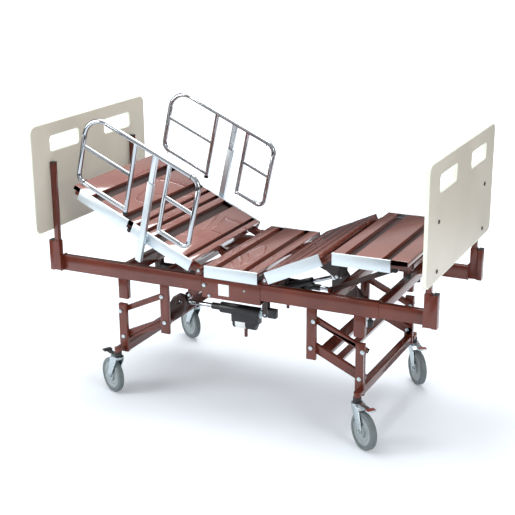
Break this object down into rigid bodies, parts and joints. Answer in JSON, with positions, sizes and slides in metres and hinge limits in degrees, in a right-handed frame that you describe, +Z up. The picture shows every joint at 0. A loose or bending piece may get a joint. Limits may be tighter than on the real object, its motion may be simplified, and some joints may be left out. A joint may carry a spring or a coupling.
{
  "type": "adjustable hospital bed",
  "caption": "Adjustable bed frame on four swivel casters with raised backrest, bent knee section, lift legs, guard rails and slotted end panels.",
  "frame": {"origin": "on the floor under the middle of the overall bounding box", "axes": "+X from the head end to the foot end, +Y towards the far side in the main view, +Z up"},
  "size_m": [2.178, 1.114, 1.5158],
  "materials": {
    "brown": "glossy mahogany-brown coat baked on steel",
    "zinc": "bright zinc plating",
    "chrome": "polished chrome plating on tube",
    "putty": "putty-coloured satin laminate",
    "black": "fine textured black moulding",
    "dark_steel": "black coat on steel",
    "grey_wheel": "grey non-marking wheel"
  },
  "bodies": {
    "frame": {"side_rails": "brown", "rail_sleeves": "brown", "frame_cross_tubes": "brown", "head_corner_brackets": "brown", "hanger_posts": "brown", "frame_bolts": "zinc", "deck_hinge_plates": "brown", "seat_side_plates": "zinc", "seat_slats": "brown", "control_box": "black", "actuator_anchors": "dark_steel", "extension_knobs": "black", "head_lift_actuator": "black", "foot_lift_actuator": "black", "backrest_actuator": "black"},
    "foot_extension": {"extension_tubes": "brown", "foot_corner_brackets": "brown"},
    "headboard": {"headboard_panel": "putty", "headboard_posts": "brown", "headboard_screws": "zinc"},
    "footboard": {"footboard_panel": "putty", "footboard_posts": "brown", "footboard_screws": "zinc"},
    "backrest": {"backrest_frame": "brown", "backrest_slats": "brown", "backrest_side_plates": "zinc", "guard_sleeves": "chrome"},
    "near_guard": {"near_guard_rail": "chrome"},
    "far_guard": {"far_guard_rail": "chrome"},
    "thigh": {"thigh_frame": "brown", "knee_lever": "dark_steel", "thigh_slats": "brown", "thigh_side_plates": "zinc"},
    "calf": {"calf_frame": "brown", "calf_slats": "brown", "calf_side_plates": "zinc"},
    "calf_link": {"calf_links": "dark_steel"},
    "head_arms": {"head_lower_arms": "brown"},
    "foot_arms": {"foot_lower_arms": "brown"},
    "head_links": {"head_upper_links": "brown"},
    "foot_links": {"foot_upper_links": "brown"},
    "head_legs": {"head_leg_frame": "brown"},
    "foot_legs": {"foot_leg_frame": "brown"},
    "head_lift_piston": {"head_lift_rod": "chrome"},
    "foot_lift_piston": {"foot_lift_rod": "chrome"},
    "backrest_piston": {"backrest_rod": "chrome"},
    "knee_actuator_body": {"knee_actuator": "black"},
    "knee_piston": {"knee_rod": "chrome"},
    "swivel_1": {"caster_fork_1": "zinc"},
    "wheel_1": {"caster_wheel_1": "grey_wheel"},
    "pedal_1": {"brake_pedal_1": "black"},
    "swivel_2": {"caster_fork_2": "zinc"},
    "wheel_2": {"caster_wheel_2": "grey_wheel"},
    "pedal_2": {"brake_pedal_2": "black"},
    "swivel_3": {"caster_fork_3": "zinc"},
    "wheel_3": {"caster_wheel_3": "grey_wheel"},
    "pedal_3": {"brake_pedal_3": "black"},
    "swivel_4": {"caster_fork_4": "zinc"},
    "wheel_4": {"caster_wheel_4": "grey_wheel"},
    "pedal_4": {"brake_pedal_4": "black"}
  },
  "joints": [
    {"name": "foot_extension_slide", "type": "slide", "parent": "frame", "child": "foot_extension", "axis": [1, 0, 0], "range_m": [0, 0.15]},
    {"name": "headboard_lift", "type": "slide", "parent": "frame", "child": "headboard", "axis": [0, 0, 1], "range_m": [0, 0.25]},
    {"name": "footboard_lift", "type": "slide", "parent": "foot_extension", "child": "footboard", "axis": [0, 0, 1], "range_m": [0, 0.25]},
    {"name": "backrest_hinge", "type": "hinge", "parent": "frame", "child": "backrest", "pos_m": [-0.185, 0, 0.76], "axis": [0, 1, 0], "range_deg": [-25, 30]},
    {"name": "near_guard_slide", "type": "slide", "parent": "backrest", "child": "near_guard", "axis": [0.2162, 0, 0.9764], "range_m": [-0.125, 0]},
    {"name": "far_guard_slide", "type": "slide", "parent": "backrest", "child": "far_guard", "axis": [0.2162, 0, 0.9764], "range_m": [-0.125, 0]},
    {"name": "thigh_hinge", "type": "hinge", "parent": "frame", "child": "thigh", "pos_m": [0.19, 0, 0.76], "axis": [0, -1, 0], "range_deg": [-25, 10]},
    {"name": "calf_hinge", "type": "hinge", "parent": "thigh", "child": "calf", "pos_m": [0.53258, 0, 0.91975], "axis": [0, 1, 0], "range_deg": [-25, 10]},
    {"name": "calf_link_hinge", "type": "hinge", "parent": "frame", "child": "calf_link", "pos_m": [0.5, 0, 0.722], "axis": [0, -1, 0], "range_deg": [-25, 10]},
    {"name": "head_lift_hinge", "type": "hinge", "parent": "frame", "child": "head_arms", "pos_m": [-0.393, 0, 0.443], "axis": [0, -1, 0], "range_deg": [-4, 40]},
    {"name": "head_link_hinge", "type": "hinge", "parent": "frame", "child": "head_links", "pos_m": [-0.407, 0, 0.586], "axis": [0, -1, 0], "range_deg": [-4, 40]},
    {"name": "head_leg_hinge", "type": "hinge", "parent": "head_arms", "child": "head_legs", "pos_m": [-0.65304, 0, 0.32394], "axis": [0, 1, 0], "range_deg": [-4, 40]},
    {"name": "head_lift_slide", "type": "slide", "parent": "frame", "child": "head_lift_piston", "axis": [-1, 0, 0], "range_m": [-0.0065, 0.0625]},
    {"name": "foot_lift_hinge", "type": "hinge", "parent": "frame", "child": "foot_arms", "pos_m": [0.444, 0, 0.443], "axis": [0, 1, 0], "range_deg": [-4, 40]},
    {"name": "foot_link_hinge", "type": "hinge", "parent": "frame", "child": "foot_links", "pos_m": [0.458, 0, 0.586], "axis": [0, 1, 0], "range_deg": [-4, 40]},
    {"name": "foot_leg_hinge", "type": "hinge", "parent": "foot_arms", "child": "foot_legs", "pos_m": [0.70404, 0, 0.32394], "axis": [0, -1, 0], "range_deg": [-4, 40]},
    {"name": "foot_lift_slide", "type": "slide", "parent": "frame", "child": "foot_lift_piston", "axis": [1, 0, 0], "range_m": [-0.0065, 0.0625]},
    {"name": "backrest_slide", "type": "slide", "parent": "frame", "child": "backrest_piston", "axis": [-1, 0, 0], "range_m": [-0.07, 0.084]},
    {"name": "knee_actuator_hinge", "type": "hinge", "parent": "frame", "child": "knee_actuator_body", "pos_m": [0.1, 0, 0.585], "axis": [0, -1, 0], "range_deg": [-15.1, 6.1]},
    {"name": "knee_slide", "type": "slide", "parent": "knee_actuator_body", "child": "knee_piston", "axis": [0.9425, 0, 0.3341], "range_m": [-0.0635, 0.0255]},
    {"name": "swivel_joint_1", "type": "hinge", "parent": "head_legs", "child": "swivel_1", "pos_m": [-0.66304, -0.435, 0.24], "axis": [0, 0, 1], "continuous": true},
    {"name": "wheel_spin_1", "type": "hinge", "parent": "swivel_1", "child": "wheel_1", "pos_m": [-0.72043, -0.40448, 0.096], "axis": [-0.4695, -0.8829, 0], "continuous": true},
    {"name": "pedal_joint_1", "type": "hinge", "parent": "swivel_1", "child": "pedal_1", "pos_m": [-0.69836, -0.41622, 0.224], "axis": [-0.4695, -0.8829, 0], "range_deg": [0, 8]},
    {"name": "swivel_joint_2", "type": "hinge", "parent": "head_legs", "child": "swivel_2", "pos_m": [-0.66304, 0.435, 0.24], "axis": [0, 0, 1], "continuous": true},
    {"name": "wheel_spin_2", "type": "hinge", "parent": "swivel_2", "child": "wheel_2", "pos_m": [-0.71933, 0.4675, 0.096], "axis": [-0.5, -0.866, 0], "continuous": true},
    {"name": "pedal_joint_2", "type": "hinge", "parent": "swivel_2", "child": "pedal_2", "pos_m": [-0.69768, 0.455, 0.224], "axis": [-0.5, -0.866, 0], "range_deg": [0, 8]},
    {"name": "swivel_joint_3", "type": "hinge", "parent": "foot_legs", "child": "swivel_3", "pos_m": [0.71404, -0.435, 0.24], "axis": [0, 0, 1], "continuous": true},
    {"name": "wheel_spin_3", "type": "hinge", "parent": "swivel_3", "child": "wheel_3", "pos_m": [0.76663, -0.47321, 0.096], "axis": [0.5878, 0.809, 0], "continuous": true},
    {"name": "pedal_joint_3", "type": "hinge", "parent": "swivel_3", "child": "pedal_3", "pos_m": [0.7464, -0.45851, 0.224], "axis": [0.5878, 0.809, 0], "range_deg": [0, 8]},
    {"name": "swivel_joint_4", "type": "hinge", "parent": "foot_legs", "child": "swivel_4", "pos_m": [0.71404, 0.435, 0.24], "axis": [0, 0, 1], "continuous": true},
    {"name": "wheel_spin_4", "type": "hinge", "parent": "swivel_4", "child": "wheel_4", "pos_m": [0.75753, 0.3867, 0.096], "axis": [0.7431, 0.6691, 0], "continuous": true},
    {"name": "pedal_joint_4", "type": "hinge", "parent": "swivel_4", "child": "pedal_4", "pos_m": [0.74081, 0.40527, 0.224], "axis": [0.7431, 0.6691, 0], "range_deg": [0, 8]}
  ],
  "couplings": [
    {"joint": "calf_hinge", "follows": "thigh_hinge", "ratio": 1},
    {"joint": "calf_link_hinge", "follows": "thigh_hinge", "ratio": 1},
    {"joint": "head_link_hinge", "follows": "head_lift_hinge", "ratio": 1},
    {"joint": "head_leg_hinge", "follows": "head_lift_hinge", "ratio": 1},
    {"joint": "head_lift_slide", "follows": "head_lift_hinge", "m_per_rad": 0.0882},
    {"joint": "foot_link_hinge", "follows": "foot_lift_hinge", "ratio": 1},
    {"joint": "foot_leg_hinge", "follows": "foot_lift_hinge", "ratio": 1},
    {"joint": "foot_lift_slide", "follows": "foot_lift_hinge", "m_per_rad": 0.0882},
    {"joint": "backrest_slide", "follows": "backrest_hinge", "m_per_rad": 0.159},
    {"joint": "knee_actuator_hinge", "follows": "thigh_hinge", "ratio": 0.6022},
    {"joint": "knee_slide", "follows": "thigh_hinge", "m_per_rad": 0.14498}
  ]
}
